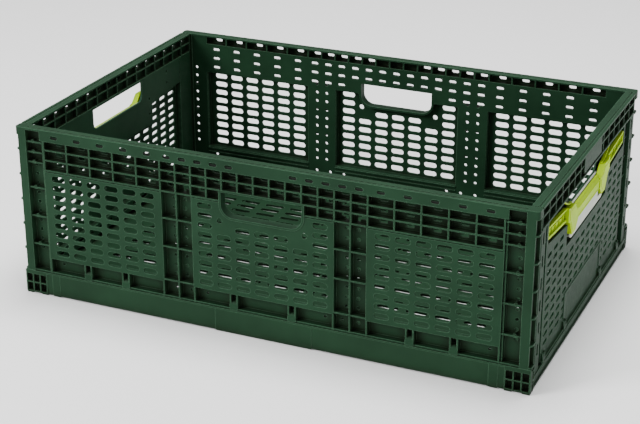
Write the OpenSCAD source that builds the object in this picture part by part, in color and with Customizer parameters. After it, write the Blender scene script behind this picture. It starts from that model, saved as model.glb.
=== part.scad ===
// Collapsible storage crate: base tray, two side walls, two end walls that fold
// inward onto the floor, and a sprung lift latch in each end wall.
// X runs along the length, Y across, Z up. The origin is the centre of the footprint.

/* [Crate] */
// Overall length
crate_l = 600; // [500:1:720]
// Overall width
crate_w = 400; // [360:1:480]
// Overall height with the walls up
crate_h = 202; // [190:1:245]
// Height of the base rim under the side walls
rim_h = 28.7; // [27.5:0.1:32]
// Thickness of a folded wall
wall_t = 12.5; // [12:0.1:15]
// Thickness of the moulded skins
skin = 2; // [1.6:0.1:2.4]
// Thickness of the stiffening ribs
rib = 1.6; // [1.2:0.1:2.2]
// Running gap between pieces
gap = 0.6; // [0.4:0.1:1]
// Gap between an end wall and the side walls beside it
side_gap = 1.5; // [1:0.1:3]

/* [Side walls] */
// Depth of the solid rail at the top
rail_h = 12; // [9:0.5:16]
// Depth of the ribbed band under the rail
band_h = 36; // [30:1:42]
// Height of the hinge section under the panels
foot_h = 20; // [18:0.5:24]
// Width of the corner post
post_w = 13; // [10:0.5:18]
// Width of the open strip beside the corner post
strip_w = 22; // [16:0.5:26]
// Width of the middle panel
mid_w = 164; // [150:1:190]
// Width of the ribbed column between two panels
column_w = 38; // [30:1:46]
// Vent slot length
slot_l = 17; // [12:0.5:19]
// Vent slot height
slot_h = 7; // [5:0.1:8]
// Vent slot pitch along the wall
slot_px = 22.4; // [21:0.1:26]
// Vent slot pitch up the wall
slot_pz = 11.25; // [9.5:0.05:14]
// Width of the side hand hole
hand_w = 94; // [80:1:100]
// Height of the side hand hole
hand_h = 28; // [24:1:32]
// Radius of the round hole at each lower corner of the side hand hole
hand_dot_r = 3.2; // [2:0.1:4]

/* [End walls] */
// Depth of the ribbed rail at the top of an end wall
end_rail_h = 25; // [22:0.5:30]
// Height of the base rim under the end walls
end_rim_h = 16; // [14:0.1:17]
// End vent slot length
end_slot_l = 15; // [10:0.5:18]
// End vent slot height
end_slot_h = 4.8; // [3.5:0.1:7]
// End vent slot pitch across
end_slot_px = 22.1; // [20:0.1:26]
// End vent slot pitch up
end_slot_pz = 9.9; // [9:0.1:13]
// Width of the hand hole in an end wall
end_hand_w = 115; // [95:1:120]

/* [Latch] */
// Height of the latch grip bar
grip_h = 15; // [12:0.5:18]
// Straight length of the grip bar
grip_l = 92; // [80:1:100]
// Gap from the end of a latch arm to the frame of the end wall
arm_end_gap = 6.5; // [3:0.5:12]
// Lift of the latch
latch_lift = 8; // [5:0.5:8.5]
// Depth of the latch moulding
latch_t = 5.6; // [4:0.1:6]
// Gap between the latch and the plate behind it
latch_gap = 0.9; // [0.5:0.1:1.5]

/* [Hinges] */
// Hinge pin radius
pin_r = 3; // [2.5:0.1:3.6]
// Radial clearance of a hinge pin in its eye
pin_gap = 0.08; // [0.03:0.01:0.1]
// Radius of a hinge eye
eye_r = 4.5; // [4:0.1:5.4]
// Width of a hinge eye
eye_w = 5; // [4:0.5:12]

/* [Base] */
// Height of the floor's top face
floor_z = 10; // [9:0.1:11]
// Floor thickness
floor_t = 3; // [2:0.1:4]
// Length of a floor slot
floor_slot_l = 26; // [18:1:30]
// Width of a floor slot
floor_slot_w = 7; // [5:0.5:9]
// Height of the corner feet under the base band
foot_up = 1.6; // [1:0.1:3]
// Length of the pocketed corner block
corner_w = 28; // [24:0.5:34]

/* [Hidden] */
$fn = 40;
green = "#1c4a30";
lime = "#b4e000";
grey = "#c8ccc0";

hl = crate_l / 2;                          // half length
hw = crate_w / 2;                          // half width
eps = 0.01;
bite = 0.4;                                // overlap that fuses touching features
flange_t = 2;                              // top flange
lip_d = 3.4;                               // groove along the top flange: from the outer face,
lip_w = 2.2;                               // its width
lip_h = 0.8;                               // and its depth
web_d = wall_t - 3.4;                      // outer face to the inner web of a side wall
face_d = 0.8;                              // set-back of panels and ribs from the outer face

// hinge axes: mid-thickness of the wall, a little above its lower edge
axis_up = 3.7 + gap / 2;                   // from the wall's lower edge up to its axis
axis_in = wall_t / 2 + 0.25;               // from the outer face in to the axis
side_z0 = rim_h + gap;                     // lower edge of a side wall
end_z0 = end_rim_h + gap / 2;              // lower edge of an end wall
side_axis_z = side_z0 + axis_up;
end_axis_z = end_z0 + axis_up;
notch_up = eye_r + gap;                    // wall cut-away above the axis at an eye
knuckle_t = 1.2;                           // skin of the knuckle over an eye

// side wall levels and stations
rail_z = crate_h - rail_h;
band_z = rail_z - band_h;
foot_z = side_z0 + foot_h;
strip_x = hl - post_w;                     // outer edge of the open strip
panel_x1 = strip_x - strip_w;              // outer edge of an outer panel
rail_x = panel_x1 + 4;                     // end of the rail's face
panel_x0 = mid_w / 2 + column_w;           // inner edge of an outer panel
outer_w = panel_x1 - panel_x0;
mid_x = mid_w / 2;
column_x = (mid_x + panel_x0) / 2;
cells_outer = 5;
cells_inner = 6;
cell_outer = outer_w / cells_outer;
cell_inner = panel_x0 / (cells_inner + 0.5);
band_ribs_x = concat([for (i = [0:cells_inner - 1]) cell_inner * (i + 0.5)],
                     [for (i = [0:cells_outer]) panel_x0 + cell_outer * i]);
band_slots_x = concat([for (i = [0:cells_inner]) cell_inner * i],
                      [for (i = [0:cells_outer - 1]) panel_x0 + cell_outer * (i + 0.5)]);
band_rows = 3;
band_row = band_h / band_rows;
panel_top = band_z - 1;
slot_rows = floor((panel_top - foot_z - 2) / slot_pz);
slot_cols = floor((outer_w - 4) / slot_px);
mid_cols = floor((mid_w - 6) / slot_px);
slot_z0 = foot_z + slot_pz / 2 + 1;        // lowest row
hand_z1 = rail_z - band_row * 2 + 1 - rib; // top of the hand hole
hand_z0 = hand_z1 - hand_h;
hand_r = hand_h / 2;
hand_lip = 2.5;
foot_ribs_x = [mid_x, column_x, panel_x0, panel_x1];
foot_steps = 3;                            // low steps inside, under each panel
side_eyes_x = [mid_w * 0.21, panel_x0 + outer_w / 3, panel_x0 + outer_w * 2 / 3];
post_ribs = 5;
post_step = (crate_h - side_z0) / (post_ribs + 0.75);
post_r = 3.2;                              // rounded outer corner of the post's rungs
post_cap = 9;                              // solid part at the top of the post
strip_steps = [0.12, 0.45, 0.78];          // rungs beside the panel, as shares of its height
boss_r = 2.2;
post_face = 2.8;                           // thickness of the post's face

// end wall levels and stations, measured across the wall
end_hw = hw - wall_t - side_gap;           // half width
end_rail_z = crate_h - end_rail_h;
end_strip_s = end_hw - 14;                 // outer frame strip
end_panel_s = end_strip_s - 13.5;          // edge of the slotted panel
end_face_d = 3;                            // set-back of the panel
end_in_d = wall_t - skin;                  // outer side of the inner skin
end_cells = 16;
end_cell = end_hw * 2 / end_cells;
label_hw = end_cell * 1.5;
side_label_hw = cell_inner * 1.5;
end_foot_z = end_z0 + 13;
end_rows = floor((end_rail_z - 40 - end_foot_z) / end_slot_pz);
end_cols = 2 * floor(end_panel_s / end_slot_px);
end_slot_z0 = end_foot_z + end_slot_pz / 2;
end_hand_z0 = end_rail_z - 26;
end_hand_r = 8;
card_hw = end_slot_px * 3.3;               // plain field above the hinge section
card_z = end_foot_z + end_slot_pz * 3;
end_eyes_s = [card_hw, end_strip_s - 20];
end_steps = 5;                             // cross webs of the frame strips
function end_step_z(i) = end_foot_z + (end_rail_z - end_foot_z) * i / (end_steps + 1);

// latch levels
latch_rise = 20;                           // arm tips above the grip bar, and their room
grip_z1 = end_rail_z - latch_lift - latch_rise; // top of the grip bar
grip_z0 = grip_z1 - grip_h;
arm_reach = end_panel_s - arm_end_gap;     // from the middle of the wall
plate_t = 1.8;
latch_d0 = end_in_d - plate_t - latch_gap - latch_t; // outer face of the latch
arm_d0 = latch_d0 + 1.8;                   // outer face of the arms
well_w = 160;                              // wide part of the latch well
well_z0 = grip_z0 - 18;
wing_hw = arm_reach + 1.2;
arm_gap = 4;                               // well showing under the arms
shoulder_s0 = grip_l / 2;
shoulder_s1 = shoulder_s0 + 32;
spring_t = 1.6;
skirt_d0 = end_face_d + 0.3;               // outer face of the plate's skirt
shoulder_z0 = grip_z0 - 9;                 // lower tip of a shoulder
skirt_z1 = shoulder_z0 - gap;              // under the shoulders
skirt_z0 = skirt_z1 - 6;
skirt_hw = shoulder_s0 + 18;
skirt_r = 3;

// base tray
snap = 0.72;                               // half the eye's mouth, as a share of the pin's radius
sweep_r = norm([wall_t - axis_in, axis_up]); // reach of the wall's lower inner corner
side_ledge_z = side_axis_z - sweep_r - gap; // top of the ledge that carries the side eyes
end_ledge_z = end_axis_z - sweep_r - gap;  // clear under a folding end wall
end_back = 1.6;                            // channel between the lips at the end of the base
base_skin = axis_in - axis_up - 0.3;       // outer skin, clear of the folded wall's edge
pockets = 3;                               // pockets along a corner block, in two rows
pocket_wall = 1.4;
pocket_w = (corner_w - pocket_wall) / pockets - pocket_wall;
pocket_h = (side_ledge_z - foot_up - pocket_wall) / 2 - pocket_wall;
pocket_depth = 6;
pad_w = 8;                                 // two square pads under a corner block
pad_in = 0.4;                              // pads, in from the corner block's faces
grid_t = 2;                                // webs under the floor
grid_x = 10;                               // and how many bays they make each way
grid_y = 8;
plate_x = [0, mid_w * 0.35, panel_x1 - 10, panel_x1]; // ends of the raised fields on the band

// plain solids given by their low and high corners
module block(a, b) { translate(a) cube(b - a); }
module both_x() { children(); mirror([1, 0, 0]) children(); }
module both_y() { children(); mirror([0, 1, 0]) children(); }

// 2D rounded slot centred at a point
module slot2(x, z, l, h) {
    translate([x, z]) {
        square([l - h, h], center = true);
        for (k = [-1, 1]) translate([k * (l - h) / 2, 0]) circle(d = h);
    }
}
// stands a 2D outline drawn in wall width and height up between two depths
module upright(d0, d1) {
    translate([0, d1, 0]) rotate([90, 0, 0]) linear_extrude(d1 - d0) children();
}
module rect2(x0, z0, x1, z1) { translate([x0, z0]) square([x1 - x0, z1 - z0]); }

// hand hole outline, grown by e: square at the top, round at the lower corners
module hand2(e = 0) {
    r = hand_r + e;
    x = hand_w / 2 + e;
    z0 = hand_z0 - e;
    rect2(-x, z0 + r, x, hand_z1 + e);
    rect2(r - x, z0, x - r, z0 + r + eps);
    for (k = [-1, 1]) translate([k * (x - r), z0 + r]) circle(r);
}
module end_hand2(e = 0) {
    r = end_hand_r + e;
    x = end_hand_w / 2 + e;
    z0 = end_hand_z0 - e;
    z1 = end_rail_z - 1;
    rect2(-x, z0 + r, x, z1);
    rect2(r - x, z0, x - r, z0 + r + eps);
    for (k = [-1, 1]) translate([k * (x - r), z0 + r]) circle(r);
}
// lower edge of the latch arms, and of the well's wings under them
function arm_z(s) = grip_z1 - 4 + 7 * (s - shoulder_s1 - 6) / (arm_reach - shoulder_s1 - 6);
function wing_z(s) = arm_z(s) - arm_gap;
// outline of the latch well, grown by e
module well2(e = 0) {
    rect2(-well_w / 2 - e, well_z0 - e, well_w / 2 + e, end_rail_z);
    polygon([[-wing_hw - e, end_rail_z], [-wing_hw - e, wing_z(wing_hw) - e],
             [-well_w / 2, wing_z(well_w / 2) - e], [well_w / 2, wing_z(well_w / 2) - e],
             [wing_hw + e, wing_z(wing_hw) - e], [wing_hw + e, end_rail_z]]);
}

// hinge parts: d is the depth of the axis from the wall's outer face
module pin(x, z) {
    translate([x - eye_w / 2 - gap - rib, axis_in, z])
        rotate([0, 90, 0]) cylinder(r = pin_r, h = eye_w + 2 * (gap + rib));
}
module lug(x, z, z0, top) {
    for (k = [-1, 1]) translate([x + k * (eye_w / 2 + gap + rib / 2), 0, 0])
        block([-rib / 2, face_d, z0], [rib / 2, wall_t - 2, top]);
}
module eye_room(x, z) {
    block([x - eye_w / 2 - gap, -1, z - 20], [x + eye_w / 2 + gap, wall_t + 1, z + notch_up]);
}
// rounded skin over an eye, on the outer side of the axis
module knuckle(x, z, z0) {
    in_r = eye_r + gap;
    out_r = in_r + knuckle_t;
    half = eye_w / 2 + gap + rib;
    translate([x - half, axis_in, z]) rotate([90, 0, 90]) linear_extrude(half * 2) {
        difference() {
            intersection() {
                circle(out_r);
                translate([-out_r, 0]) square(out_r);
            }
            circle(in_r);
        }
        translate([-out_r, z0 - z]) square([knuckle_t, z - z0 + eps]);
    }
}

// ---- side wall, outer face at depth 0, drawn in place in height ----
module side_panel2(x0, x1, cols, cx, holes_from, holes_to) {
    difference() {
        rect2(x0, foot_z, x1, panel_top);
        for (c = [0:cols - 1], r = [holes_from:holes_to])
            slot2(cx + (c - (cols - 1) / 2) * slot_px, slot_z0 + r * slot_pz, slot_l, slot_h);
    }
}
module side_panels() {
    upright(face_d, face_d + skin) {
        for (k = [-1, 1])
            side_panel2(k > 0 ? panel_x0 : -panel_x1, k > 0 ? panel_x1 : -panel_x0,
                        slot_cols, k * (panel_x0 + panel_x1) / 2, 0, slot_rows - 1);
        difference() {
            rect2(-mid_x, foot_z, mid_x, panel_top);
            for (c = [0:mid_cols - 1], r = [0:slot_rows - 1]) {
                x = (c - (mid_cols - 1) / 2) * slot_px;
                z = slot_z0 + r * slot_pz;
                if (z + slot_h / 2 + skin < hand_z0 - hand_lip - (abs(x) > hand_w / 3 ? hand_dot_r * 2 : 0)
                        || abs(x) - slot_l / 2 > hand_w / 2 + hand_lip)
                    slot2(x, z, slot_l, slot_h);
            }
            hand2();
            for (k = [-1, 1])
                translate([k * (hand_w / 2 + hand_lip), hand_z0 - hand_lip - hand_dot_r]) circle(r = hand_dot_r);
        }
    }
}
module side_boxes() {
    // returns from the panels back to the inner web
    for (x = [mid_x, panel_x0, panel_x1]) both_x()
        block([x - rib / 2, face_d, side_z0], [x + rib / 2, web_d + bite, band_z]);
    for (z = [panel_top, foot_z]) difference() {
        union() {
            both_x() block([panel_x0, face_d, z - rib], [panel_x1, web_d + bite, z]);
            block([-mid_x, face_d, z - rib], [mid_x, web_d + bite, z]);
        }
        upright(-1, wall_t) hand2();
    }
}
module side_web() {
    upright(web_d, web_d + skin) difference() {
        union() {
            rect2(-strip_x, band_z - 1.6, strip_x, rail_z);
            rect2(-strip_x, side_z0, strip_x, foot_z);
            for (k = [-1, 1]) translate([k * column_x, 0])
                rect2(-column_w / 2, side_z0, column_w / 2, band_z);
            for (k = [-1, 1]) translate([k * (panel_x1 + strip_x) / 2, 0])
                rect2(-strip_w / 2, side_z0, strip_w / 2, crate_h - flange_t);
        }
        for (k = [-1, 1], x = band_slots_x, r = [0:band_rows - 1])
            if (!(k < 0 && x == 0) && !(r == band_rows - 1 && x < hand_w / 2 + cell_inner / 2))
                slot2(k * x, rail_z - band_row * (r + 0.5), cell_inner / 2, 4);
        for (k = [-1, 1], r = [0:slot_rows]) {
            for (j = [-1, 1])
                translate([k * column_x + j * column_w * 0.175, slot_z0 + r * slot_pz])
                    circle(r = 2);
            translate([k * (panel_x1 + strip_w * 0.68), slot_z0 + r * slot_pz]) circle(r = 2);
        }
        for (x = foot_ribs_x, k = [-1, 1])
            translate([k * (x - 12), foot_z - foot_h / 2]) circle(r = 2);
        hand2();
    }
}
module side_ribs() {
    difference() {
        union() {
            for (x = band_ribs_x) both_x()
                block([x - rib / 2, face_d, band_z], [x + rib / 2, web_d + bite, rail_z]);
            for (r = [1:band_rows]) {
                z = rail_z - band_row * r;
                block([-panel_x1, face_d, z], [panel_x1, web_d + bite, z + rib]);
            }
        }
        upright(-1, wall_t) hand2();
    }
    // column: one upright rib and a ladder
    both_x() {
        block([column_x - rib / 2, face_d, side_z0], [column_x + rib / 2, web_d + bite, band_z]);
        for (z = [foot_z, foot_z + (band_z - foot_z) * 0.38, foot_z + (band_z - foot_z) * 0.7])
            block([mid_x, face_d, z], [panel_x0, web_d + bite, z + rib]);
        // rungs of the open strip, hooked over a boss beside the post
        for (z = concat([for (i = [0:band_rows - 1]) rail_z - band_row * (i + 0.4)],
                        [for (f = strip_steps) foot_z + (band_z - foot_z) * f])) {
            block([panel_x1, face_d + 1, z], [strip_x + bite, web_d + bite, z + rib]);
            translate([panel_x1 + strip_w * 0.68, web_d + bite, z + rib / 2])
                rotate([90, 0, 0]) cylinder(r = boss_r, h = web_d - face_d - 2);
        }
        block([panel_x1 + rib, face_d + 2, side_z0], [panel_x1 + rib * 2, web_d + bite, rail_z]);
    }
    // hinge section
    for (x = foot_ribs_x) both_x()
        block([x - rib / 2, face_d, side_z0], [x + rib / 2, web_d + bite, foot_z]);
    block([-strip_x, face_d + 0.4, side_z0], [strip_x, web_d + skin, side_z0 + rib]);
    // low steps inside, under the panels
    for (i = [0:foot_steps - 1]) {
        z = foot_z - 3 - i * foot_h / 4;
        block([-mid_x, web_d + skin - bite, z], [mid_x, wall_t, z + rib]);
        both_x() block([panel_x0, web_d + skin - bite, z], [panel_x1, wall_t, z + rib]);
    }
}
// outline of the post from above, with its rounded outer corner
module post2() {
    translate([strip_x, 0]) square([post_w - post_r, wall_t - skin + bite]);
    translate([hl - post_r, post_r]) circle(post_r);
    translate([hl - post_r - eps, post_r]) square([post_r + eps, wall_t - skin + bite - post_r]);
}
// post open at its outer corner, where only the rungs come through
module side_post() {
    both_x() {
        block([strip_x, 0, side_z0 - gap / 2], [hl - post_r, post_face, crate_h]);
        block([strip_x, 0, side_z0], [strip_x + skin, wall_t, crate_h]);
        block([strip_x - rib, wall_t - skin, side_z0], [hl - 1, wall_t, crate_h]);
        translate([0, 0, crate_h - post_cap]) linear_extrude(post_cap) post2();
        translate([0, 0, side_z0 - gap / 2]) linear_extrude(rib + gap / 2) post2();
        for (i = [0:post_ribs - 1])
            translate([0, 0, side_z0 + post_step * (i + 0.85)]) linear_extrude(rib) post2();
    }
}
module side_rail() {
    difference() {
        block([post_r - hl, 0, crate_h - flange_t], [hl - post_r, wall_t - 0.5, crate_h]);
        block([-hl, lip_d, crate_h - lip_h], [hl, lip_d + lip_w, crate_h + 1]);
    }
    upright(0, skin) difference() {
        rect2(-rail_x, rail_z, rail_x, crate_h - flange_t + eps);
        for (x = band_slots_x, k = [-1, 1]) if (x > side_label_hw)
            slot2(k * x, rail_z + rail_h / 2 - 1, cell_inner / 2, 4.4);
    }
    block([-rail_x, 0, rail_z - rib / 2], [rail_x, web_d + skin, rail_z + rib / 2]);
    // ribs that brace the rail from inside
    for (x = band_ribs_x) both_x()
        block([x - rib / 2, skin - bite, rail_z], [x + rib / 2, web_d + skin, crate_h - flange_t]);
}
module side_wall() color(green) difference() {
    union() {
        side_panels();
        side_boxes();
        side_web();
        side_ribs();
        side_post();
        side_rail();
        upright(0, web_d + skin) difference() { hand2(hand_lip); hand2(); }
        for (x = side_eyes_x) both_x() {
            lug(x, side_axis_z, side_z0, foot_z);
            block([x - eye_w / 2 - gap - rib, axis_in, side_axis_z + notch_up],
                  [x + eye_w / 2 + gap + rib, web_d + skin, side_axis_z + notch_up + rib]);
        }
    }
    for (x = side_eyes_x) both_x() eye_room(x, side_axis_z);
}
module side_wall_pinned() color(green) {
    side_wall();
    for (x = side_eyes_x) both_x() {
        pin(x, side_axis_z);
        knuckle(x, side_axis_z, side_z0);
    }
}

// ---- end wall ----
module end_panel() {
    upright(end_face_d, end_face_d + skin) difference() {
        rect2(-end_panel_s, end_z0, end_panel_s, end_rail_z + 1);
        for (k = [-1, 1], c = [0:end_cols / 2 - 1], r = [0:end_rows + 2]) {
            s = (c + 0.5) * end_slot_px;
            z = end_slot_z0 + r * end_slot_pz;
            under = z + end_slot_h / 2 + skin < well_z0;
            beside = s - end_slot_l / 2 > well_w / 2 + skin && z + end_slot_h / 2 + skin < wing_z(well_w / 2);
            card = s < card_hw && z < card_z;
            if ((under || beside) && !card) slot2(k * s, z, end_slot_l, end_slot_h);
        }
        well2();
    }
    // well walls and its back skin, with the hand hole
    upright(end_face_d, wall_t) difference() { well2(skin); well2(); }
    upright(end_in_d, wall_t) difference() {
        well2(skin);
        end_hand2();
        for (k = [-1, 1], z = [grip_z1 - 1, grip_z0 - 6])
            translate([k * (well_w / 2 - 5), z]) circle(r = 1.8);
        for (k = [-1, 1], z = [8, 22])
            translate([k * (wing_hw - 32), wing_z(wing_hw) + z]) circle(r = 1.8);
    }
    // plain field with its ridges
    upright(end_face_d - 0.8, end_face_d + bite) difference() {
        rect2(-card_hw - 3, end_foot_z, card_hw + 3, card_z);
        rect2(-card_hw + 3, end_foot_z - 1, card_hw - 3, card_z - rib);
    }
}
module end_rail() {
    difference() {
        block([-end_hw, 0, crate_h - flange_t], [end_hw, wall_t, crate_h]);
        block([-hw, lip_d, crate_h - lip_h], [hw, lip_d + lip_w, crate_h + 1]);
    }
    block([-end_hw, 0, end_rail_z], [end_hw, wall_t, end_rail_z + skin]);
    upright(wall_t / 2 - skin / 2, wall_t / 2 + skin / 2) difference() {
        rect2(-end_hw, end_rail_z, end_hw, crate_h - 1);
        for (i = [0:end_cells - 1]) {
            s = (i + 0.5 - end_cells / 2) * end_cell;
            slot2(s, crate_h - 8, end_cell * 0.4, 4);
        }
    }
    for (i = [0:end_cells]) {
        s = (i - end_cells / 2) * end_cell * (1 - rib / end_hw / 2);
        block([s - rib / 2, face_d, end_rail_z + 1], [s + rib / 2, wall_t, crate_h - 1]);
    }
    block([-end_hw, face_d, end_rail_z + end_rail_h * 0.5],
          [end_hw, wall_t, end_rail_z + end_rail_h * 0.5 + rib]);
    block([-label_hw, 0, end_rail_z + 5], [label_hw, skin, crate_h - 1]);
}
module end_frame() both_x() {
    // outer strip with a window in each cell, open channel, inner skin
    difference() {
        block([end_strip_s, face_d, end_z0], [end_hw, face_d + skin, end_rail_z + 1]);
        for (i = [0:end_steps])
            block([end_strip_s + rib + 3, -1, end_step_z(i) + rib + 5],
                  [end_hw - skin - 3, wall_t, end_step_z(i + 1) - 5]);
    }
    block([end_panel_s - skin, end_in_d, end_z0], [end_hw, wall_t, end_rail_z + 1]);
    block([end_hw - skin, face_d, end_z0], [end_hw, wall_t, end_rail_z + 1]);
    block([end_strip_s, face_d, end_z0], [end_strip_s + rib, wall_t, end_rail_z + 1]);
    block([end_panel_s - skin, end_face_d, end_z0], [end_panel_s, wall_t, end_rail_z + 1]);
    for (i = [1:end_steps]) {
        z = end_step_z(i);
        block([end_panel_s - skin, 4, z], [end_strip_s + bite, wall_t, z + rib]);
        block([end_strip_s, face_d + skin - bite, z], [end_hw, wall_t, z + rib]);
    }
}
module end_foot() {
    upright(web_d, web_d + skin) difference() {
        rect2(-end_panel_s, end_z0, end_panel_s, end_foot_z + 1);
        for (c = [0:end_cols / 2 - 1], k = [-1, 1])
            slot2(k * (c + 0.5) * end_slot_px, end_foot_z - 5, end_slot_l, 3.6);
    }
    block([-end_panel_s, face_d, end_z0], [end_panel_s, web_d + skin, end_z0 + rib]);
    block([-end_panel_s, end_face_d, end_foot_z - 0.5], [end_panel_s, web_d + skin, end_foot_z + 1]);
    for (c = [0:end_cols / 2 - 1]) both_x()
        block([c * end_slot_px - rib / 2, end_face_d, end_z0],
              [c * end_slot_px + rib / 2, web_d + bite, end_foot_z]);
}
module end_wall() {
    color(green) difference() {
        union() {
            end_panel();
            end_rail();
            end_frame();
            end_foot();
            for (s = end_eyes_s) both_x() {
                lug(s, end_axis_z, end_z0, end_axis_z + notch_up + 1);
                block([s - eye_w / 2 - gap - rib, axis_in, end_axis_z + notch_up],
                      [s + eye_w / 2 + gap + rib, web_d + skin, end_axis_z + notch_up + rib]);
            }
        }
        for (s = end_eyes_s) both_x() eye_room(s, end_axis_z);
    }
    color(green) for (s = end_eyes_s) both_x() {
        pin(s, end_axis_z);
        knuckle(s, end_axis_z, end_z0);
    }
}

// ---- latch: grip bar, shoulders and two locking arms in one moulding ----
half_latch = [[shoulder_s0, grip_z0], [shoulder_s0 + 8, shoulder_z0],
    [shoulder_s0 + 22, shoulder_z0], [shoulder_s1, grip_z0 + 8],
    [shoulder_s1 + 6, arm_z(shoulder_s1 + 6)], [arm_reach, arm_z(arm_reach)],
    [arm_reach, arm_z(arm_reach) + 14.5], [shoulder_s1 + 10, grip_z1 + 12],
    [shoulder_s1, grip_z1 + 9], [shoulder_s0 + 15, grip_z1 + 9],
    [shoulder_s0 + 6, grip_z1]];
module latch2() {
    n = len(half_latch) - 1;
    polygon(concat(half_latch, [for (i = [n:-1:0]) [-half_latch[i][0], half_latch[i][1]]]));
}
module latch() color(lime) difference() {
    upright(latch_d0, latch_d0 + latch_t) latch2();
    // arms are set back and hollowed to a channel
    both_x() {
        block([shoulder_s1 + 8, latch_d0 - 1, grip_z0], [arm_reach + 1, arm_d0, grip_z1 + 30]);
        upright(arm_d0 - 1, latch_d0 + latch_t - rib) polygon([
            [shoulder_s1 + 12, grip_z1 + 0.5], [arm_reach - 2, grip_z1 + 7.5],
            [arm_reach - 2, grip_z1 + 12], [shoulder_s1 + 12, grip_z1 + 6.5]]);
    }
    // the grip is hollow behind
    block([-shoulder_s0 - 4, latch_d0 + skin, grip_z0 + skin],
          [shoulder_s0 + 4, latch_d0 + latch_t + 1, grip_z1 - skin]);
}
// leaf springs between the shoulders and the underside of the rail
module latch_springs() color(lime) both_x() upright(arm_d0 + 0.4, latch_d0 + latch_t - 0.2)
    polygon([[shoulder_s0 + 15, grip_z1 + 9], [shoulder_s0 + 19, grip_z1 + 9],
             [shoulder_s1 + 26, end_rail_z - 0.4 - spring_t], [shoulder_s1 + 34, end_rail_z - 0.4 - spring_t],
             [shoulder_s1 + 34, end_rail_z - 0.4], [shoulder_s1 + 24, end_rail_z - 0.4]]);
// light backing plate in the well, behind the grip and under the arms
module latch_plate() color(grey) {
    // skirt under the grip, flush with the panel, and the ledge that carries it
    upright(skirt_d0, skirt_d0 + plate_t) skirt2();
    block([skirt_r - skirt_hw, skirt_d0, skirt_z0 + eps], [skirt_hw - skirt_r, end_in_d - bite, skirt_z0 + plate_t]);
    upright(end_in_d - plate_t, end_in_d) plate2();
}
module skirt2() {
    rect2(gap - shoulder_s0, skirt_z1 - eps, shoulder_s0 - gap, grip_z0 - gap);
    rect2(-skirt_hw, skirt_z0 + skirt_r, skirt_hw, skirt_z1);
    rect2(skirt_r - skirt_hw, skirt_z0, skirt_hw - skirt_r, skirt_z1);
    for (k = [-1, 1]) translate([k * (skirt_hw - skirt_r), skirt_z0 + skirt_r]) circle(skirt_r);
}
module plate2() {
    rect2(0.6 - well_w / 2, well_z0 + 0.6, well_w / 2 - 0.6, end_hand_z0 - 1);
    both_x() polygon([
        [well_w / 2 - 10, wing_z(well_w / 2) + 0.6], [well_w / 2, wing_z(well_w / 2) + 0.6],
        [wing_hw - 0.6, wing_z(wing_hw) + 0.6], [wing_hw - 0.6, wing_z(wing_hw) + 9],
        [well_w / 2 - 10, wing_z(well_w / 2) + 9]]);
}

// ---- base tray ----
module floor_slots2() {
    nx = floor((crate_l - 60) / (floor_slot_l + 8));
    ny = floor((crate_w - 50) / (floor_slot_w + 8));
    for (i = [0:nx - 1], j = [0:ny - 1])
        slot2((i - (nx - 1) / 2) * (floor_slot_l + 8), (j - (ny - 1) / 2) * (floor_slot_w + 8),
              floor_slot_l, floor_slot_w);
}
module eye(axis_z, base_z) {
    // drawn about the axis at the origin of X and at depth axis_in
    translate([-eye_w / 2, axis_in, axis_z]) rotate([0, 90, 0]) cylinder(r = eye_r, h = eye_w);
    block([-eye_w / 2, axis_in - eye_r, base_z], [eye_w / 2, axis_in + eye_r, axis_z]);
}
module eye_bore(axis_z) {
    translate([-eye_w, axis_in, axis_z]) rotate([0, 90, 0])
        cylinder(r = pin_r + pin_gap, h = eye_w * 2);
    block([-eye_w, axis_in - pin_r * snap, axis_z],
          [eye_w, axis_in + pin_r * snap, axis_z + eye_r + 1]);
}
module on_side() { translate([0, -hw, 0]) children(); }
module on_end() { translate([hl, 0, 0]) rotate([0, 0, 90]) children(); }
module base_corner() {
    // pocketed block under a corner post, on two pads
    difference() {
        union() {
            block([hl - corner_w, -hw, foot_up], [hl, -hw + wall_t, side_ledge_z]);
            block([hl - corner_w, -hw, foot_up], [hl, -hw + base_skin, rim_h]);
            for (x = [hl - pad_in, hl - corner_w + pad_w + pad_in])
                block([x - pad_w, pad_in - hw, 0], [x, wall_t - pad_in - hw, foot_up * 2]);
        }
        for (i = [0:pockets - 1], j = [0:1]) {
            x = hl - corner_w + pocket_wall + i * (pocket_w + pocket_wall);
            z = foot_up + pocket_wall + j * (pocket_h + pocket_wall);
            block([x, -hw - 1, z], [x + pocket_w, pocket_depth - hw, z + pocket_h]);
        }
        for (j = [0:1]) {
            z = foot_up + pocket_wall + j * (pocket_h + pocket_wall);
            block([hl - pocket_depth, pocket_depth + pocket_wall - hw, z],
                  [hl + 1, wall_t - pocket_wall - hw, z + pocket_h]);
        }
    }
}
module base_side() {
    on_side() {
        block([corner_w - hl, face_d, foot_up], [hl - corner_w, base_skin, rim_h]);
        block([corner_w - hl, 0.2, rim_h - skin], [hl - corner_w, base_skin, rim_h]);
        for (i = [0, 2]) both_x()
            block([plate_x[i], 0.4, foot_up / 2], [plate_x[i + 1], face_d + bite, rim_h - 1]);
        block([3 - hl, wall_t - skin, floor_z - floor_t], [hl - 3, wall_t, side_ledge_z]);
        block([corner_w - hl, base_skin - bite, side_ledge_z - skin], [hl - corner_w, wall_t, side_ledge_z]);
        for (x = side_eyes_x) both_x() translate([x, 0, 0]) eye(side_axis_z, side_ledge_z - 1);
    }
}
module base_end() {
    on_end() {
        block([wall_t - hw, end_back, foot_up], [hw - wall_t, end_back + skin, end_ledge_z]);
        block([wall_t - hw, 0, end_ledge_z - 1], [hw - wall_t, base_skin, end_rim_h - gap / 2]);
        block([wall_t - hw, pad_in, foot_up], [hw - wall_t, end_back + bite, foot_up + skin]);
        for (s = end_eyes_s) both_x() translate([s, 0, 0]) eye(end_axis_z, floor_z - 1);
    }
}
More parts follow.
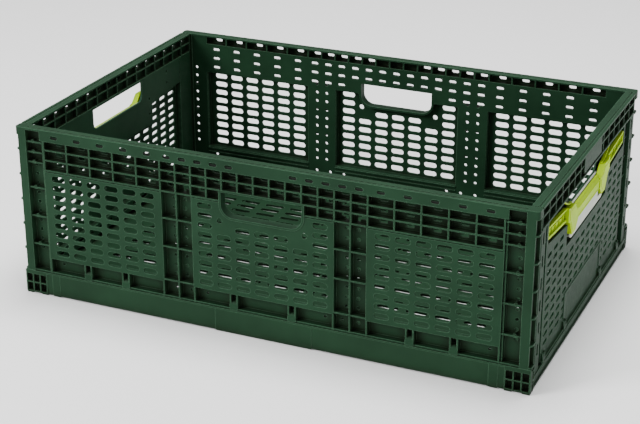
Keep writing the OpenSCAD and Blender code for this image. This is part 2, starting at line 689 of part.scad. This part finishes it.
module base_tray() color("#1a452d") difference() {
    union() {
        translate([0, 0, floor_z - floor_t]) linear_extrude(floor_t) difference() {
            square([crate_l - 3, crate_w - 2 * (wall_t - skin)], center = true);
            floor_slots2();
        }
        // grid under the floor
        for (i = [1:grid_x - 1]) translate([i * crate_l / grid_x - hl, 0, 0])
            block([-grid_t / 2, 3 - hw, foot_up], [grid_t / 2, hw - 3, floor_z - 1]);
        for (j = [1:grid_y - 1]) translate([0, j * crate_w / grid_y - hw, 0])
            block([3 - hl, -grid_t / 2, foot_up], [hl - 3, grid_t / 2, floor_z - 1]);
        both_y() base_side();
        both_x() base_end();
        both_x() both_y() base_corner();
    }
    both_y() on_side() for (x = side_eyes_x) both_x() translate([x, 0, 0]) eye_bore(side_axis_z);
    both_x() on_end() for (s = end_eyes_s) both_x() translate([s, 0, 0]) eye_bore(end_axis_z);
}

module front() { on_side() children(); }
module back() { rotate([0, 0, 180]) on_side() children(); }
module right() { on_end() children(); }
module left() { rotate([0, 0, 180]) on_end() children(); }

base_tray();
front() side_wall_pinned();  // front_wall
back() side_wall_pinned();  // back_wall
left() end_wall();  // left_wall
right() end_wall();  // right_wall
left() latch();  // left_latch
right() latch();  // right_latch
left() latch_springs();  // left_latch_springs
right() latch_springs();  // right_latch_springs
left() latch_plate();  // left_latch_plate
right() latch_plate();  // right_latch_plate
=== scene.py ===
"""Finishes, latch mouldings, springs, stage and camera for a folding storage crate."""

import math

import bmesh
import bpy
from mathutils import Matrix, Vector


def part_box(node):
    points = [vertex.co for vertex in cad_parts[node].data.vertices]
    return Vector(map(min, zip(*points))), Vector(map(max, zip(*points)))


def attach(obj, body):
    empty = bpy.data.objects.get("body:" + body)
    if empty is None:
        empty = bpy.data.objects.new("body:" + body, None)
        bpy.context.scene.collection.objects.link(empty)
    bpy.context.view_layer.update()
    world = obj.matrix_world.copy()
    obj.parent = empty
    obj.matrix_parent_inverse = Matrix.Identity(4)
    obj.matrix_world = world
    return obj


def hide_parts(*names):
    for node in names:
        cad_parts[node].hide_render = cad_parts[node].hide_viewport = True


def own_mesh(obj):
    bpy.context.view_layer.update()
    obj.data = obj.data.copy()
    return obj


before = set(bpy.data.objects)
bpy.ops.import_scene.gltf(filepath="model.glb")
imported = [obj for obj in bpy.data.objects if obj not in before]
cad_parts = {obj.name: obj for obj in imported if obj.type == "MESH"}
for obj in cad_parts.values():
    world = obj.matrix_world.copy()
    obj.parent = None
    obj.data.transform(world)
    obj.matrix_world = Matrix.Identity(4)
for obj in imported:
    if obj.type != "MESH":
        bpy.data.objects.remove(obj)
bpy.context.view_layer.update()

bl_info = {
    "name": "Folding Crate Finishes",
    "version": (1, 0, 0),
    "blender": (4, 5, 0),
    "location": "3D View > Sidebar > Folding Crate",
    "description": "Moulded plastics, fittings, stage and camera for a folding storage crate",
    "category": "Object",
}

MM = 0.001

FLOW_SIZE = 70 * MM           # spacing of the melt's flow marks
SCUFF_SIZE = 6 * MM           # spacing of the handling scuffs
MOTTLE = 0.14                 # share by which the pigment runs darker and paler
BUMP_DEPTH = 0.1 * MM         # depth of the finest texture, on the plastics and the paper
PAINTED_SHADE_REACH = 14 * MM         # depth of the cells that are darkened with painted shade
# near-black brown, painted into deep cells as shade
PAINTED_SHADE_COLOUR = "#17100b"
PLASTIC_IOR = 1.49            # polypropylene, and acetal within 0.01
MASK_SAMPLES = 6              # rays for the edge mask and for the painted shade mask

PAPER_GRAIN = 120.0           # fibres of the floor paper per metre
FLOOR_DROP = 0.2 * MM         # the floor lies this far under the crate
SKY_STRENGTH = 0.6
AIM_POINT = (0, 0, 0.1)       # the softboxes face the middle of the crate
SOFTBOXES = [                 # name, place in metres, side in metres, watts
    ("key_softbox", (-1.7, -1.9, 1.7), 1.0, 70.0),
    ("fill_softbox", (2.0, -2.0, 0.9), 0.8, 9.0),
    ("top_softbox", (0.1, 0.2, 2.4), 1.2, 70.0)]

# the viewer stands to the right of the front wall and looks down on the crate
VIEW_POINT = (0.6816, -1.5933, 0.8147)
VIEW_AZIMUTH = math.radians(23.774)
VIEW_ELEVATION = math.radians(23.186)
SENSOR_WIDTH = 36.0
FOCAL_SHARE = 2.52015625      # focal length over the sensor's width

WALL_NODES = ["front_wall", "back_wall", "left_wall", "right_wall"]
PLATE_NODES = ["left_latch_plate", "right_latch_plate"]


# ---- settings a user would change ----

class CrateColours(bpy.types.PropertyGroup):
    """Colours of the mouldings, as sRGB hex."""

    wall: bpy.props.StringProperty(
        name="Walls", description="Dark green of the four walls", default="#1d3725")
    base: bpy.props.StringProperty(
        name="Base", description="Dark green of the base tray", default="#1e3725")
    # paler green painted on the edges as a highlight, broken up by scuff noise like wear
    bloom_and_edge_highlight: bpy.props.StringProperty(
        name="Bloom", description="Paler green where the surface is rubbed", default="#6a9878")
    latch: bpy.props.StringProperty(
        name="Latch", description="Yellow-green of the latch mouldings", default="#a8cc00")
    # paler yellow-green painted on the latch's edges as a highlight, broken up by scuff noise
    # like wear
    latch_highlight_and_wear: bpy.props.StringProperty(
        name="Latch edges", description="Paler edges of the latch mouldings", default="#c8ea10")
    plate: bpy.props.StringProperty(
        name="Backing plate", description="Light grey behind the grip", default="#ccd1c4")
    floor: bpy.props.StringProperty(
        name="Floor", description="Pale floor of the stage", default="#ffffff")


class CrateSizes(bpy.types.PropertyGroup):
    """Sizes of the surface detail and of the stage."""

    edge_radius: bpy.props.FloatProperty(
        name="Edge radius", description="Radius that the mould leaves on every edge",
        default=0.7 * MM, min=0.1 * MM, max=2 * MM, subtype="DISTANCE", unit="LENGTH")
    spark_grain: bpy.props.FloatProperty(
        name="Spark grain", description="Spacing of the spark-eroded mould texture",
        default=0.9 * MM, min=0.1 * MM, max=3 * MM, subtype="DISTANCE", unit="LENGTH")
    latch_ridge: bpy.props.FloatProperty(
        name="Latch ridge", description="Height of the fine ridges along the grip and arms",
        default=0.7 * MM, min=0.2 * MM, max=1.2 * MM, subtype="DISTANCE", unit="LENGTH")
    latch_round: bpy.props.FloatProperty(
        name="Latch rounding", description="Radius of the latch's own edges",
        default=0.45 * MM, min=0.1 * MM, max=0.9 * MM, subtype="DISTANCE", unit="LENGTH")
    stage_size: bpy.props.FloatProperty(
        name="Stage size", description="Side of the floor square",
        default=24.0, min=2.0, max=60.0, subtype="DISTANCE", unit="LENGTH")


# ---- small helpers ----

def linear(hex_colour):
    """sRGB hex to linear RGBA."""
    digits = hex_colour.lstrip("#")
    channels = [int(digits[i:i + 2], 16) / 255 for i in (0, 2, 4)]
    return [c / 12.92 if c <= 0.04045 else ((c + 0.055) / 1.055) ** 2.4
            for c in channels] + [1.0]


def add_node(tree, kind, settings=(), **inputs):
    """Adds a node. settings are its properties. An input is named, or numbered as _6, and is
    a value or another node's output."""
    node = tree.nodes.new(kind)
    for name, value in dict(settings).items():
        setattr(node, name, value)
    for name, value in inputs.items():
        key = int(name[1:]) if name[1:].isdigit() else name.replace("_", " ")
        socket = node.inputs[key]
        if isinstance(value, bpy.types.NodeSocket):
            tree.links.new(value, socket)
        else:
            socket.default_value = value
    return node


def ramp_stops(node, stops):
    """Sets a colour ramp's stops from (position, RGBA) pairs."""
    elements = node.color_ramp.elements
    while len(elements) < len(stops):
        elements.new(0.5)
    for element, (position, colour) in zip(elements, stops):
        element.position = position
        element.color = colour


def new_material(name):
    """A material with an empty tree, its shader and its output."""
    material = bpy.data.materials.new(name)
    material.use_nodes = True
    tree = material.node_tree
    tree.nodes.clear()
    shader = add_node(tree, "ShaderNodeBsdfPrincipled")
    output = add_node(tree, "ShaderNodeOutputMaterial", Surface=shader.outputs["BSDF"])
    output.is_active_output = True
    return material, tree, shader


def dress(obj, material):
    """Puts one material on the whole of a piece."""
    obj.data.materials.clear()
    obj.data.materials.append(material)
    for polygon in obj.data.polygons:
        polygon.material_index = 0


# ---- materials ----

def moulded_plastic(name, colour, edge_highlight_and_wear, roughness, sheen, sizes, painted_shade=0.8):
    """An injection-moulded plastic: a satin skin with rounded mould edges that catch the light,
    faint flow mottling, spark-eroded grain, a paler colour painted on the edges as a highlight
    and broken up like wear, and painted shade that darkens the deep cells.
    sheen is the specular level, kept low so that the pale floor mirrored at a low angle
    doesn't turn the colour grey."""
    material, tree, shader = new_material(name)
    where = add_node(tree, "ShaderNodeTexCoord").outputs["Object"]

    # flow marks: pigment never spreads quite evenly through the melt
    flow = add_node(tree, "ShaderNodeTexNoise", Vector=where, Scale=1 / FLOW_SIZE,
                    Detail=3.0, Roughness=0.6)
    # scuffs from handling, which also vary the gloss
    scuff = add_node(tree, "ShaderNodeTexNoise", Vector=where, Scale=1 / SCUFF_SIZE,
                     Detail=6.0, Roughness=0.7)
    # spark-eroded mould texture, drawn coarser than the real 0.1 mm so that it shows
    spark = add_node(tree, "ShaderNodeTexNoise", Vector=where, Scale=1 / sizes.spark_grain,
                     Detail=2.0)

    tones = [[c * share for c in linear(colour)[:3]] + [1.0]
             for share in (1 - MOTTLE, 1 + MOTTLE)]
    mottled = add_node(tree, "ShaderNodeValToRGB", Fac=flow.outputs["Fac"])
    ramp_stops(mottled, [(0.35, tones[0]), (0.65, tones[1])])

    # an edge is where the rounded normal leaves the flat one; there the colour is painted paler
    # as a highlight, broken up by the scuff noise like wear
    rounded = add_node(tree, "ShaderNodeBevel", {"samples": MASK_SAMPLES},
                       Radius=sizes.edge_radius)
    flat = add_node(tree, "ShaderNodeNewGeometry")
    same = add_node(tree, "ShaderNodeVectorMath", {"operation": "DOT_PRODUCT"},
                    _0=rounded.outputs["Normal"], _1=flat.outputs["True Normal"])
    edge = add_node(tree, "ShaderNodeMapRange", Value=same.outputs["Value"],
                    From_Min=0.99, From_Max=0.8, To_Min=0.0, To_Max=1.3)
    highlight_and_wear = add_node(tree, "ShaderNodeMath", {"operation": "MULTIPLY"},
                    _0=edge.outputs["Result"], _1=scuff.outputs["Fac"])
    highlighted_tone = add_node(tree, "ShaderNodeMix", {"data_type": "RGBA"},
                           _0=highlight_and_wear.outputs["Value"], _6=mottled.outputs["Color"],
                           _7=linear(edge_highlight_and_wear))

    # painted shade: the colour darkens to near-black brown where ambient occlusion finds cells
    # about as deep as the wall
    open_sky = add_node(tree, "ShaderNodeAmbientOcclusion", {"samples": MASK_SAMPLES},
                        Distance=PAINTED_SHADE_REACH)
    shade_mask = add_node(tree, "ShaderNodeMapRange", Value=open_sky.outputs["AO"],
                     From_Min=0.8, From_Max=0.3, To_Min=0.0, To_Max=painted_shade)
    toned = add_node(tree, "ShaderNodeMix", {"data_type": "RGBA"}, _0=shade_mask.outputs["Result"],
                     _6=highlighted_tone.outputs[2], _7=linear(PAINTED_SHADE_COLOUR))
    tree.links.new(toned.outputs[2], shader.inputs["Base Color"])

    gloss = add_node(tree, "ShaderNodeMapRange", Value=scuff.outputs["Fac"],
                     From_Min=0.3, From_Max=0.7,
                     To_Min=roughness - 0.05, To_Max=roughness + 0.07)
    tree.links.new(gloss.outputs["Result"], shader.inputs["Roughness"])
    bump = add_node(tree, "ShaderNodeBump", Strength=0.1, Distance=BUMP_DEPTH,
                    Height=spark.outputs["Fac"], Normal=rounded.outputs["Normal"])
    tree.links.new(bump.outputs["Normal"], shader.inputs["Normal"])
    shader.inputs["Specular IOR Level"].default_value = sheen
    shader.inputs["IOR"].default_value = PLASTIC_IOR
    return material


def stage_material(colour):
    """Matt white seamless paper: no gloss, and a fibre that only just breaks the surface."""
    material, tree, shader = new_material("matt_paper")
    where = add_node(tree, "ShaderNodeTexCoord").outputs["Object"]
    fibre = add_node(tree, "ShaderNodeTexNoise", Vector=where, Scale=PAPER_GRAIN, Detail=2.0)
    shader.inputs["Base Color"].default_value = linear(colour)
    shader.inputs["Roughness"].default_value = 0.9
    shader.inputs["Specular IOR Level"].default_value = 0.1
    bump = add_node(tree, "ShaderNodeBump", Strength=0.02, Distance=BUMP_DEPTH,
                    Height=fibre.outputs["Fac"])
    tree.links.new(bump.outputs["Normal"], shader.inputs["Normal"])
    return material


# ---- latch and spring geometry ----
# Points are (along, up): along the wall from its middle, and up from the floor. A depth is
# measured outward from the piece's back face.

GRIP_HALF = 46 * MM           # half the straight length of the grip
GRIP_LAP = 2 * MM             # the grip runs this far into the shoulders
GRIP_H = 15 * MM              # height of the grip
GRIP_SKIN = 1.8 * MM          # thickness of the grip's channel
BROW_DROP = 3.6 * MM          # height of the grip's sloping upper face
BROW_BACK = 2.6 * MM          # depth of that face
LIP_H = 1.4 * MM              # height of the lip under the grip

SHOULDER_END = 78 * MM        # outer end of a shoulder
SHOULDER_DROP = 9 * MM        # a shoulder's tip below the grip
SHOULDER_LAP = 1 * MM         # the shoulder laps the end of the grip
SHOULDER_TIP = (8 * MM, 22 * MM)    # the blunt tip's ends, past the end of the grip
SHOULDER_TOP = (5 * MM, 15 * MM)    # where its upper slope starts and ends, past the grip
SHOULDER_RISE = 9 * MM        # top of a shoulder above the grip
SHOULDER_HEEL = 8 * MM        # its outer lower corner above the grip's lower edge
SHOULDER_PROUD = 1.3 * MM     # the shoulders stand out from the grip
PANEL_INSET = 0.22            # share by which the shoulder's panel is smaller
PANEL_PROUD = 0.5 * MM        # the panel stands out from the shoulder

ARM_START = 84 * MM           # where the arm leaves the shoulder
ARM_ROOT_LOW = 4 * MM         # the arm's lower edge there, below the grip's top
ARM_ROOT_TOP = 5.5 * MM       # its upper edge there, below its tip
ARM_DROP = 14.5 * MM          # height of an arm at its tip
WEB = 1.6 * MM                # thickness of the arm's web
TOP_FLANGE = 2.4 * MM         # height of the arm's upper flange
LOW_FLANGE = 2.8 * MM         # height of its lower flange
MID_RIB = 0.9 * MM            # height of the rib along its middle
MID_RIB_SHARE = 0.56          # place of that rib up the web
ARM_RIBS = 5                  # cross ribs in the channel of an arm
RIB_HALF = 0.5 * MM           # half the thickness of a cross rib
TIP_W = 2 * MM                # length of the closed tip

SPRING_FOOT = GRIP_HALF + 16 * MM   # where a spring's foot stands on the shoulder
SPRING_LEAF = 1.6 * MM        # thickness of a leaf
SPRING_STEPS = 14             # straight stretches along a leaf


def join_rings(mesh, rings):
    """Closes two rings of vertices into a solid."""
    near, far = rings
    count = len(near)
    for i in range(count):
        j = (i + 1) % count
        mesh.faces.new((near[i], near[j], far[j], far[i]))
    mesh.faces.new(near[::-1])
    mesh.faces.new(far)


def add_prism(mesh, outline, low, high, place):
    """Adds a closed prism: outline points (along, up) between two depths."""
    join_rings(mesh, [[mesh.verts.new(place(along, up, depth)) for along, up in outline]
                      for depth in (low, high)])


def add_bar(mesh, section, start, end, place):
    """Adds a closed bar: section points (depth, up) carried from start to end along the wall."""
    join_rings(mesh, [[mesh.verts.new(place(along, up, depth)) for depth, up in section]
                      for along in (start, end)])


def between(start, end, share):
    """A point part of the way from start to end."""
    return tuple(a + (b - a) * share for a, b in zip(start, end))


def add_strip(mesh, start, end, width, low, high, place):
    """Adds a straight rib that hangs width below the line from start to end."""
    under = [(along, up - width) for along, up in (end, start)]
    add_prism(mesh, [start, end, *under], low, high, place)


def wall_frame(node):
    """A CAD node's lowest and highest corners, its thickness through the wall, and a function
    that turns along, up and depth into a point of the row frame."""
    low, high = (Vector(corner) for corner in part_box(node))
    outward = 1.0 if high.x > 0 else -1.0
    back = min(abs(low.x), abs(high.x))

    def place(along, up, depth):
        return Vector((outward * (back + depth), along, up))

    return low, high, high.x - low.x, place


def add_grip(mesh, grip_low, thick, ridge, place):
    """The grip: a channel bar with a sloping upper face and two fine ridges along its front."""
    grip_top = grip_low + GRIP_H
    brow = grip_top - BROW_DROP
    add_bar(mesh, [
        (0, grip_top), (thick - BROW_BACK, grip_top), (thick, brow), (thick + ridge, brow),
        (thick + ridge, brow - ridge), (thick, brow - 1.6 * ridge),
        (thick, grip_low + LIP_H + 0.4 * MM), (thick + ridge, grip_low + LIP_H),
        (thick + ridge, grip_low + ridge), (thick - ridge, grip_low), (0, grip_low),
        (0, grip_low + GRIP_SKIN), (thick - GRIP_SKIN, grip_low + GRIP_SKIN),
        (thick - GRIP_SKIN, brow - GRIP_SKIN / 2),
        (thick - BROW_BACK - GRIP_SKIN / 2, grip_top - GRIP_SKIN), (0, grip_top - GRIP_SKIN)],
        -GRIP_HALF - GRIP_LAP, GRIP_HALF + GRIP_LAP, place)


def add_shoulder(mesh, side, tip_low, grip_low, arm_low, arm_top, thick, place):
    """A thick block that drops to a blunt tip under the grip and climbs to the arm, with a
    panel that stands a little prouder."""
    grip_top = grip_low + GRIP_H
    inner = GRIP_HALF - SHOULDER_LAP
    corners = [
        (inner, grip_low + 0.6 * MM), (GRIP_HALF + SHOULDER_TIP[0], tip_low),
        (GRIP_HALF + SHOULDER_TIP[1], tip_low), (SHOULDER_END, grip_low + SHOULDER_HEEL),
        arm_low, arm_top, (SHOULDER_END, grip_top + SHOULDER_RISE),
        (GRIP_HALF + SHOULDER_TOP[1], grip_top + SHOULDER_RISE),
        (GRIP_HALF + SHOULDER_TOP[0], grip_top - 0.4 * MM), (inner, grip_top - 1.5 * MM)]
    outline = [(side * along, up) for along, up in corners]
    add_prism(mesh, outline, 0, thick + SHOULDER_PROUD, place)
    middle = tuple(sum(values) / len(outline) for values in zip(*outline))
    add_prism(mesh, [between(point, middle, PANEL_INSET) for point in outline],
              thick, thick + SHOULDER_PROUD + PANEL_PROUD, place)


def add_arm(mesh, low_line, top_line, thick, place):
    """A thin web between two flanges, with a rib along its middle, ribs across it, and a
    closed tip that locks behind the frame of the wall. A line is a root and a tip point."""
    side = math.copysign(1, low_line[1][0])
    add_prism(mesh, [*low_line, *top_line[::-1]], 0, WEB, place)
    add_strip(mesh, *top_line, TOP_FLANGE, 0, thick - 1.0 * MM, place)
    add_strip(mesh, *[(along, up + LOW_FLANGE) for along, up in low_line],
              LOW_FLANGE, 0, thick - 1.4 * MM, place)
    add_strip(mesh, *[between(low, top, MID_RIB_SHARE) for low, top in zip(low_line, top_line)],
              MID_RIB, 0, WEB + 1.0 * MM, place)
    for i in range(ARM_RIBS):
        share = (i + 0.6) / ARM_RIBS
        foot, head = (between(*line, share) for line in (low_line, top_line))
        add_prism(mesh, [(foot[0] - RIB_HALF, foot[1]), (foot[0] + RIB_HALF, foot[1]),
                         (head[0] + RIB_HALF, head[1] - MM), (head[0] - RIB_HALF, head[1] - MM)],
                  0, WEB + 1.3 * MM, place)
    (end, foot_up), (_, tip) = low_line[1], top_line[1]
    inner = end - side * TIP_W
    add_prism(mesh, [(inner, foot_up), (end, foot_up), (end, tip), (inner, tip - 0.2 * MM)],
              0, thick - 1.2 * MM, place)


def latch_mesh(node, sizes):
    """The whole latch moulding in the place of its CAD node."""
    low, high, thick, place = wall_frame(node)
    grip_low = low.z + SHOULDER_DROP
    low_root = (ARM_START, grip_low + GRIP_H - ARM_ROOT_LOW)
    top_root = (ARM_START, high.z - ARM_ROOT_TOP)
    mesh = bmesh.new()
    add_grip(mesh, grip_low, thick, sizes.latch_ridge, place)
    for side in (-1, 1):
        add_shoulder(mesh, side, low.z, grip_low, low_root, top_root, thick, place)
        low_line, top_line = ([(side * along, up) for along, up in line] for line in (
            (low_root, (high.y, high.z - ARM_DROP)), (top_root, (high.y, high.z))))
        add_arm(mesh, low_line, top_line, thick, place)
    bmesh.ops.recalc_face_normals(mesh, faces=mesh.faces)
    return mesh


def springs_mesh(node):
    """The pair of leaf springs that lie on the shoulders and press on the rail above. Each
    leaf is a strip of even thickness along a smooth step."""
    low, high, thick, place = wall_frame(node)
    half = SPRING_LEAF / 2
    run, rise = high.y - SPRING_FOOT, high.z - low.z - SPRING_LEAF
    mesh = bmesh.new()
    for side in (-1, 1):
        upper, lower = [], []
        for i in range(SPRING_STEPS + 1):
            share = i / SPRING_STEPS
            along = SPRING_FOOT + run * share
            up = low.z + half + rise * share * share * (3 - 2 * share)
            slope = rise / run * 6 * share * (1 - share)
            across = half / math.hypot(1, slope)
            upper.append((side * (along - slope * across), up + across))
            lower.append((side * (along + slope * across), up - across))
        add_prism(mesh, upper + lower[::-1], 0, thick, place)
    bmesh.ops.recalc_face_normals(mesh, faces=mesh.faces)
    return mesh


def round_edges(piece, radius):
    """Rounds a piece's sharp edges."""
    rounding = piece.modifiers.new("rounded_edges", "BEVEL")
    rounding.width = radius
    rounding.segments = 2
    rounding.limit_method = "ANGLE"
    rounding.angle_limit = math.radians(25)


def add_piece(context, name, built, material, node, body):
    """Puts a finished mesh in the scene in place of a CAD node."""
    mesh = bpy.data.meshes.new(name)
    built.to_mesh(mesh)
    built.free()
    piece = bpy.data.objects.new(name, mesh)
    context.scene.collection.objects.link(piece)
    dress(piece, material)
    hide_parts(node)
    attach(piece, body)
    return piece


# ---- operators ----

class CRATE_OT_walls(bpy.types.Operator):
    """Finishes the four walls in satin green polypropylene."""

    bl_idname = "crate.walls"
    bl_label = "Walls"

    def execute(self, context):
        colours, sizes = context.scene.crate_colours, context.scene.crate_sizes
        green = moulded_plastic("polypropylene_green_satin", colours.wall, colours.bloom_and_edge_highlight,
                                roughness=0.46, sheen=0.06, sizes=sizes)
        for name in WALL_NODES:
            dress(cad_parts[name], green)
        return {"FINISHED"}


class CRATE_OT_base(bpy.types.Operator):
    """Finishes the base tray in green polypropylene, a little duller than the walls."""

    bl_idname = "crate.base"
    bl_label = "Base tray"

    def execute(self, context):
        colours, sizes = context.scene.crate_colours, context.scene.crate_sizes
        green = moulded_plastic("polypropylene_green_base", colours.base, colours.bloom_and_edge_highlight,
                                roughness=0.48, sheen=0.06, sizes=sizes)
        dress(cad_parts["base_tray"], green)
        return {"FINISHED"}


class CRATE_OT_latches(bpy.types.Operator):
    """Makes the two latches and their springs, and finishes them and the backing plates."""

    bl_idname = "crate.latches"
    bl_label = "Latches"

    def execute(self, context):
        colours, sizes = context.scene.crate_colours, context.scene.crate_sizes
        # the latch and the plate get less painted shade in their deep cells than the walls
        acetal = moulded_plastic("acetal_lime", colours.latch, colours.latch_highlight_and_wear,
                                 roughness=0.38, sheen=0.05, sizes=sizes, painted_shade=0.5)
        grey = moulded_plastic("polypropylene_grey", colours.plate, colours.plate,
                               roughness=0.5, sheen=0.1, sizes=sizes, painted_shade=0.2)
        for side in ("left", "right"):
            node = side + "_latch"
            latch = add_piece(context, side + "_latch_moulding", latch_mesh(node, sizes),
                              acetal, node, side + "_grip")
            round_edges(latch, sizes.latch_round)

            # the springs ride with the end wall, so they stay against the rail when the latch
            # comes up
            node = side + "_latch_springs"
            springs = add_piece(context, side + "_leaf_springs", springs_mesh(node),
                                acetal, node, side + "_end")
            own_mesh(springs)
        for name in PLATE_NODES:
            dress(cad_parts[name], grey)
        return {"FINISHED"}


class CRATE_OT_stage(bpy.types.Operator):
    """Adds the pale floor, the soft studio lights and the camera."""

    bl_idname = "crate.stage"
    bl_label = "Stage"

    def execute(self, context):
        colours, sizes = context.scene.crate_colours, context.scene.crate_sizes
        half = sizes.stage_size / 2
        mesh = bpy.data.meshes.new("studio_floor")
        corners = [(-half, -half, 0), (half, -half, 0), (half, half, 0), (-half, half, 0)]
        mesh.from_pydata(corners, [], [(0, 1, 2, 3)])
        floor = bpy.data.objects.new("studio_floor", mesh)
        context.scene.collection.objects.link(floor)
        floor.location.z = -FLOOR_DROP
        dress(floor, stage_material(colours.floor))

        world = bpy.data.worlds.new("studio_sky")
        context.scene.world = world
        world.use_nodes = True
        background = world.node_tree.nodes["Background"]
        background.inputs["Color"].default_value = (1, 1, 1, 1)
        background.inputs["Strength"].default_value = SKY_STRENGTH

        for name, place, size, power in SOFTBOXES:
            light = bpy.data.lights.new(name, "AREA")
            light.size = size
            light.energy = power
            lamp = bpy.data.objects.new(name, light)
            context.scene.collection.objects.link(lamp)
            lamp.location = place
            aim = Vector(AIM_POINT) - lamp.location
            lamp.rotation_mode = "QUATERNION"
            lamp.rotation_quaternion = aim.to_track_quat("-Z", "Y")

        back = Vector((math.sin(VIEW_AZIMUTH) * math.cos(VIEW_ELEVATION),
                       -math.cos(VIEW_AZIMUTH) * math.cos(VIEW_ELEVATION),
                       math.sin(VIEW_ELEVATION)))
        lens = bpy.data.cameras.new("view_camera")
        lens.sensor_width = SENSOR_WIDTH
        lens.lens = FOCAL_SHARE * SENSOR_WIDTH
        camera = bpy.data.objects.new("view_camera", lens)
        context.scene.collection.objects.link(camera)
        camera.location = VIEW_POINT
        camera.rotation_mode = "QUATERNION"
        camera.rotation_quaternion = (-back).to_track_quat("-Z", "Y")
        lens.clip_start, lens.clip_end = 0.05, 60.0
        context.scene.camera = camera
        return {"FINISHED"}


class CRATE_PT_panel(bpy.types.Panel):
    """Lists the crate's settings and the buttons for its steps."""

    bl_label = "Folding Crate"
    bl_idname = "CRATE_PT_panel"
    bl_space_type = "VIEW_3D"
    bl_region_type = "UI"
    bl_category = "Folding Crate"

    def draw(self, context):
        for group in (context.scene.crate_colours, context.scene.crate_sizes):
            box = self.layout.box()
            for name in group.bl_rna.properties.keys():
                if name not in ("rna_type", "name"):
                    box.prop(group, name)
        for operator in OPERATORS:
            self.layout.operator(operator.bl_idname)


OPERATORS = [CRATE_OT_stage, CRATE_OT_walls, CRATE_OT_base, CRATE_OT_latches]
CLASSES = [CrateColours, CrateSizes, *OPERATORS, CRATE_PT_panel]


def register():
    for cls in CLASSES:
        bpy.utils.register_class(cls)
    bpy.types.Scene.crate_colours = bpy.props.PointerProperty(type=CrateColours)
    bpy.types.Scene.crate_sizes = bpy.props.PointerProperty(type=CrateSizes)


def unregister():
    del bpy.types.Scene.crate_sizes
    del bpy.types.Scene.crate_colours
    for cls in reversed(CLASSES):
        bpy.utils.unregister_class(cls)


def main():
    register()
    for operator in OPERATORS:
        section, action = operator.bl_idname.split(".")
        getattr(getattr(bpy.ops, section), action)()


if __name__ == "__main__":
    main()
